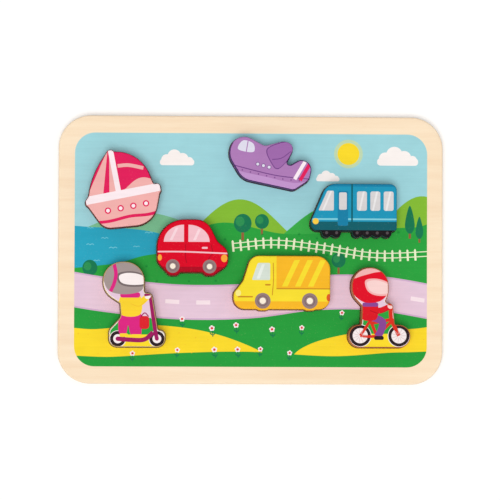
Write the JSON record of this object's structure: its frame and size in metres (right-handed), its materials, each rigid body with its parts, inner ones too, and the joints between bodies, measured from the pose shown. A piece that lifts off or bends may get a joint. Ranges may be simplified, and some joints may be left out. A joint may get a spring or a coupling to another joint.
{
  "type": "shape puzzle",
  "caption": "Wooden inset puzzle board with a printed picture, a bare wood border and thick loose vehicle pieces that lift straight out of matching recesses.",
  "frame": {"origin": "middle of the board's underside, on the surface that it lies on", "axes": "+X along the board's long side, to the right of the picture; +Y up the picture; +Z out of the picture, the way the pieces lift"},
  "size_m": [0.28, 0.195, 0.023],
  "materials": {
    "plain_plywood": "sanded, clear lacquer",
    "printed_plywood": "sanded, printed picture under clear lacquer",
    "raspberry_paint": "printed face, painted sides, satin",
    "lilac_paint": "printed face, painted sides, satin",
    "teal_paint": "printed face, painted sides, satin",
    "red_paint": "printed face, painted sides, satin",
    "yellow_paint": "printed face, painted sides, satin",
    "magenta_paint": "printed face, painted sides, satin",
    "orange_red_paint": "printed face, painted sides, satin"
  },
  "bodies": {
    "board": {"backing_board": "plain_plywood", "tray_board": "printed_plywood"},
    "boat": {"boat_piece": "raspberry_paint"},
    "plane": {"plane_piece": "lilac_paint"},
    "train": {"train_piece": "teal_paint"},
    "car": {"car_piece": "red_paint"},
    "van": {"van_piece": "yellow_paint"},
    "scooter": {"scooter_piece": "magenta_paint"},
    "bicycle": {"bicycle_piece": "orange_red_paint"}
  },
  "joints": [
    {"name": "boat_lift", "type": "slide", "parent": "board", "child": "boat", "axis": [0, 0, 1], "range_m": [0, 0.03]},
    {"name": "plane_lift", "type": "slide", "parent": "board", "child": "plane", "axis": [0, 0, 1], "range_m": [0, 0.03]},
    {"name": "train_lift", "type": "slide", "parent": "board", "child": "train", "axis": [0, 0, 1], "range_m": [0, 0.03]},
    {"name": "car_lift", "type": "slide", "parent": "board", "child": "car", "axis": [0, 0, 1], "range_m": [0, 0.03]},
    {"name": "van_lift", "type": "slide", "parent": "board", "child": "van", "axis": [0, 0, 1], "range_m": [0, 0.03]},
    {"name": "scooter_lift", "type": "slide", "parent": "board", "child": "scooter", "axis": [0, 0, 1], "range_m": [0, 0.03]},
    {"name": "bicycle_lift", "type": "slide", "parent": "board", "child": "bicycle", "axis": [0, 0, 1], "range_m": [0, 0.03]}
  ]
}
